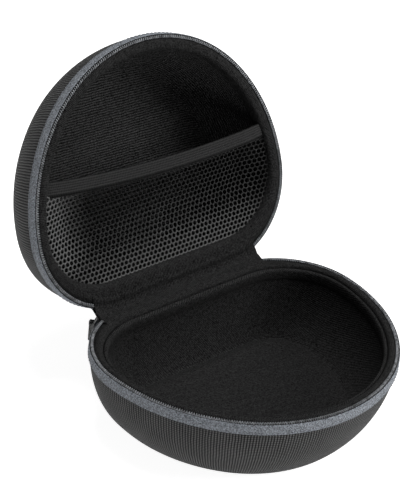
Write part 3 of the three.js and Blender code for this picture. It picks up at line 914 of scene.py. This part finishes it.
elastic_band = pocket_band("pocket_elastic_band", 0, ELASTIC_WIDTH, 2.9, 5, 0.65,
                           "pocket_elastic")
hem_band = pocket_band("pocket_hem_band", ELASTIC_WIDTH - 0.6, 2.2, 3.6, 1, 0.5,
                       "pocket_hem")

# %% [markdown]
# ## The slider and its pull
#
# The slider is cast zinc with a dark plating: a plate on the outside of the tape, a raised
# crown along its middle, and a bridge for the pull. A real one has a second plate inside
# the coils, which is left out here. Castings have no sharp edges, so every edge is
# bevelled, and the thin bright line along each bevel is what tells the eye that it is metal.

# %% Slider frame
pull_joint = joints["pull_swing"]
slide_x = Vector(pull_joint["axis"]).normalized()
slide_z = Vector((0, 0, 1))
slide_y = slide_z.cross(slide_x)
pivot = Vector(pull_joint["pos_m"])
slider_frame = Matrix((slide_x, slide_y, slide_z)).transposed().to_4x4()
slider_frame.translation = pivot - slide_y * 3.55 * MM


def casting(name, corners, y_from, y_to, bevel):
    """A bevelled plate: corners in the slider's x and z, thick along its y, in mm."""
    bm = bmesh.new()
    lower = [bm.verts.new((x * MM, y_from * MM, z * MM)) for x, z in corners]
    upper = [bm.verts.new((x * MM, y_to * MM, z * MM)) for x, z in corners]
    bm.faces.new(lower)
    bm.faces.new(upper[::-1])
    count = len(corners)
    for k in range(count):
        n = (k + 1) % count
        bm.faces.new([lower[n], lower[k], upper[k], upper[n]])
    bmesh.ops.recalc_face_normals(bm, faces=bm.faces)
    bmesh.ops.bevel(bm, geom=bm.edges[:], offset=bevel * MM, segments=2, affect="EDGES",
                    profile=0.6, clamp_overlap=True)
    mesh = bpy.data.meshes.new(name)
    bm.to_mesh(mesh)
    bm.free()
    mesh.transform(slider_frame)
    mesh.uv_layers.new(name="cloth")
    mesh.polygons.foreach_set("use_smooth", [False] * len(mesh.polygons))
    made = bpy.data.objects.new(name, mesh)
    bpy.context.scene.collection.objects.link(made)
    return dressed(made, metal)


def rounded_end(half_width, top, bottom, count=10):
    """A tab outline in x and z with a round lower end."""
    turns = np.linspace(0, -math.pi, count)
    end = [(half_width * math.cos(t), bottom + half_width + half_width * math.sin(t))
           for t in turns]
    return [(-half_width, top), (half_width, top)] + end


# %% Slider body
plate = [(-3.8, -2.5), (0.76, -4), (3.8, -3.6), (3.8, 3.6), (0.76, 4), (-3.8, 2.5)]
crown = [(-3.0, -0.9), (0.6, -1.6), (3.2, 0), (0.6, 1.6), (-3.0, 0.9)]
slider_plate = casting("slider_plate", plate, 0, 1.35, 0.3)
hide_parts("zip_slider")
slider_parts = [
    slider_plate,
    casting("slider_crown", crown, 1.2, 1.75, 0.25),
    casting("slider_leg_front", [(-2.7, -0.5), (-1.8, -0.5), (-1.8, 0.5), (-2.7, 0.5)],
            1.2, 3.9, 0.18),
    casting("slider_leg_back", [(1.8, -0.5), (2.7, -0.5), (2.7, 0.5), (1.8, 0.5)],
            1.2, 3.9, 0.18),
    casting("slider_bar", [(-2.7, -0.45), (2.7, -0.45), (2.7, 0.45), (-2.7, 0.45)],
            3.1, 4.0, 0.18),
]
for piece in slider_parts:
    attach(piece, "zip_slider")

# %% Pull tab
tab = casting("pull_tab", rounded_end(2.2, -1.1, -13), 2.75, 4.35, 0.35)
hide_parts("zip_pull")
loop_sides = [
    casting("pull_loop_front", [(-1.2, -1.6), (1.2, -1.6), (1.2, 1.35), (-1.2, 1.35)],
            4.3, 4.85, 0.18),
    casting("pull_loop_back", [(-1.2, -1.6), (1.2, -1.6), (1.2, 1.35), (-1.2, 1.35)],
            2.25, 2.8, 0.18),
    casting("pull_loop_top", [(-1.2, 0.8), (1.2, 0.8), (1.2, 1.35), (-1.2, 1.35)],
            2.4, 4.7, 0.18),
]
ridges = []
for k in range(4):
    z = -6.0 - 1.5 * k
    bar = [(-1.4, z - 0.3), (1.4, z - 0.3), (1.4, z + 0.3), (-1.4, z + 0.3)]
    ridges.append(casting(f"pull_ridge_{k}", bar, 4.2, 4.6, 0.12))
for piece in [tab, *loop_sides, *ridges]:
    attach(piece, "zip_pull")
print("slider and pull pieces", len(slider_parts) + 1 + len(loop_sides) + len(ridges))

# %% [markdown]
# ## Floor, light and camera
#
# A black object needs a bright room: what the eye reads on black cloth is mostly reflected
# light. The case stands on a pale floor with painted light: it glows a little, as a lit
# acrylic table does in a studio, brightest round a point behind and right of the case and
# fading further out, where its colour is greyer too. The glow lifts the underside of the
# bowls from below. A large soft light hangs overhead, and a second one at the right front
# glances off the pocket's yarns.

# %% Floor
floor = mesh_object("floor", np.array([[-40, -40, 0], [40, -40, 0], [40, 40, 0],
                                        [-40, 40, 0]], float), [[0, 1, 2, 3]],
                    flat=np.array([[[-40, -40], [40, -40], [40, 40], [-40, 40]]], float),
                    smooth=False)
GLOW_CENTRE, GLOW_RADIUS, GLOW_FADE = (0.17, 0.22), 440, 800
glowing_floor = Nodes("glowing_floor", 0.9, specular=0.1)
x, y = glowing_floor.uv("flat")
# Painted light: the floor's glow and its paler colour are strongest round GLOW_CENTRE and fade
# further out.
across = glowing_floor.math("SUBTRACT", x, GLOW_CENTRE[0])
along_y = glowing_floor.math("SUBTRACT", y, GLOW_CENTRE[1])
square = glowing_floor.math("ADD", glowing_floor.math("MULTIPLY", across, across),
                    glowing_floor.math("MULTIPLY", along_y, along_y))
outside = glowing_floor.past(glowing_floor.math("SQRT", square, 0), GLOW_RADIUS, GLOW_FADE)
glowing_floor.colours(glowing_floor.math("ADD", outside, glowing_floor.noise(600)), grey(0.64), grey(0.5), 0.5, 1.5)
glow = glowing_floor.math("SUBTRACT", 0.92, glowing_floor.math("MULTIPLY", outside, 0.55))
glowing_floor.shader.inputs["Emission Color"].default_value = (1, 1, 1, 1)
glowing_floor.link(glow, glowing_floor.shader.inputs["Emission Strength"])
floor.data.materials.append(glowing_floor.material)

# %% Lights
scene = bpy.context.scene
world = bpy.data.worlds.new("room")
scene.world = world
world.use_nodes = True
world.node_tree.nodes["Background"].inputs["Color"].default_value = (1, 1, 1, 1)
world.node_tree.nodes["Background"].inputs["Strength"].default_value = 0.13


def soft_light(name, place, target, size, power):
    light = bpy.data.lights.new(name, "AREA")
    light.shape = "DISK"
    light.size = size
    light.energy = power
    holder = bpy.data.objects.new(name, light)
    holder.location = place
    aim = Vector(target) - Vector(place)
    holder.rotation_euler = aim.to_track_quat("-Z", "Y").to_euler()
    scene.collection.objects.link(holder)


soft_light("top", (0.1, 0.0, 1.4), (0, 0, 0.05), 0.9, 15)
soft_light("right_front", (0.9, -1.0, 0.8), (0, 0.05, 0.1), 0.9, 16)
scene.view_settings.view_transform = "Standard"

# %% Camera
AZIMUTH, ELEVATION, ROLL = (math.radians(a) for a in (-44.1, 31.3, 6.1))
DISTANCE, LENS = 1.176, 154.7
target = Vector((-0.0723, -0.0198, 0.1578))
away = Vector((math.sin(AZIMUTH) * math.cos(ELEVATION),
               -math.cos(AZIMUTH) * math.cos(ELEVATION), math.sin(ELEVATION)))
right = Vector((math.cos(AZIMUTH), math.sin(AZIMUTH), 0))
upward = away.cross(right)
rolled_right = math.cos(ROLL) * right + math.sin(ROLL) * upward
rolled_up = away.cross(rolled_right)
camera_data = bpy.data.cameras.new("camera")
camera_data.lens = LENS
camera_data.sensor_width = 36
camera = bpy.data.objects.new("camera", camera_data)
scene.collection.objects.link(camera)
pose = Matrix((rolled_right, rolled_up, away)).transposed().to_4x4()
pose.translation = target + away * DISTANCE
camera.matrix_world = pose
scene.camera = camera
